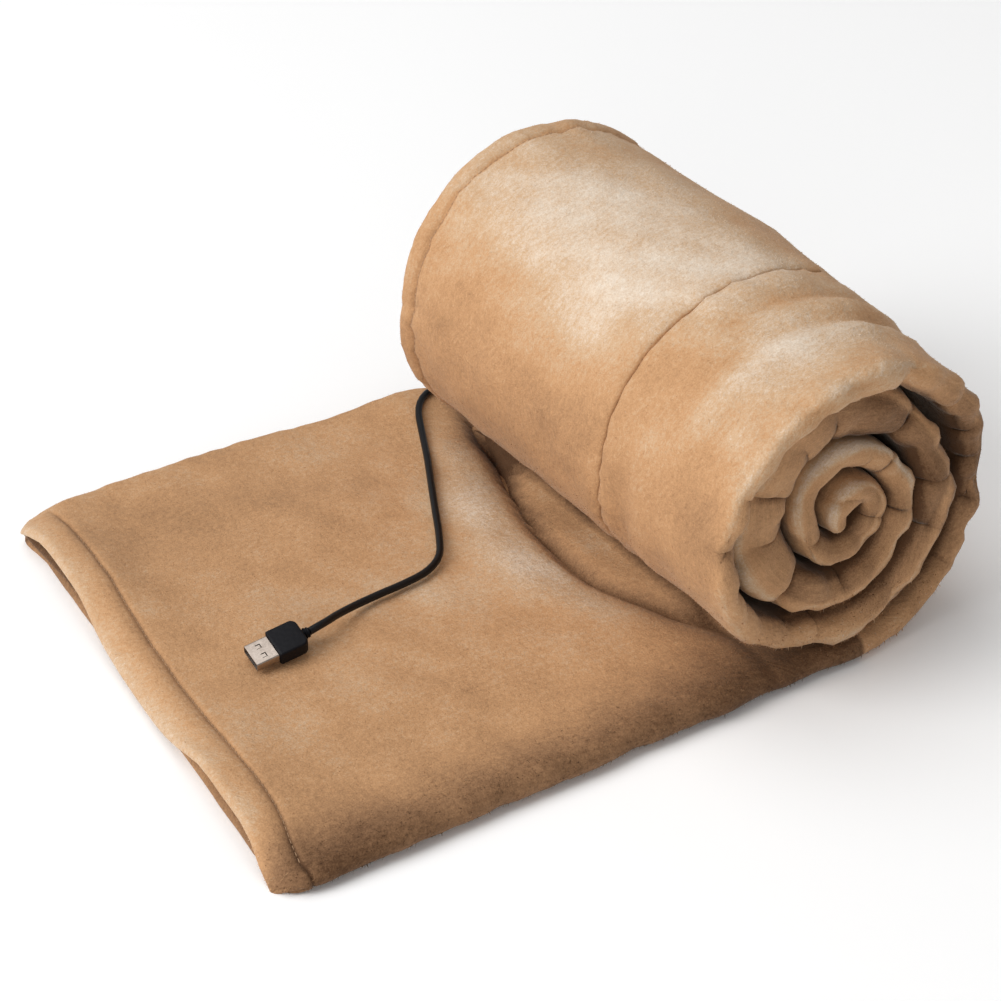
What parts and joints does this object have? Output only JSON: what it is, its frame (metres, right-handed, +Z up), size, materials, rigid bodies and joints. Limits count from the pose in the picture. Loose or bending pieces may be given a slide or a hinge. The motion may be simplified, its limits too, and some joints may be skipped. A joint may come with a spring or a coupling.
{
  "type": "electric heated blanket",
  "caption": "Plush heated throw folded lengthwise in three and rolled up on its flat end, with a thin power cord and plug lying on it.",
  "frame": {"origin": "on the surface that the blanket rests on, under the middle of the blanket's box, the cord and plug left out", "axes": "+X along the folded strip from its free end to the roll, +Y along the roll's axis from its near end to its far end, +Z up"},
  "size_m": [0.3511, 0.2975, 0.1608],
  "materials": {
    "camel_plush": "short soft plush pile, camel brown",
    "black_cord": "smooth satin jacket",
    "black_moulding": "fine matt moulding",
    "plated_steel": "nickel-plated sheet",
    "dark_insulator": "moulded insulator"
  },
  "bodies": {
    "root": {"blanket": "camel_plush", "cord": "black_cord", "cord_relief": "black_moulding", "usb_grip": "black_moulding", "usb_shell": "plated_steel", "usb_tongue": "dark_insulator"}
  },
  "joints": []
}
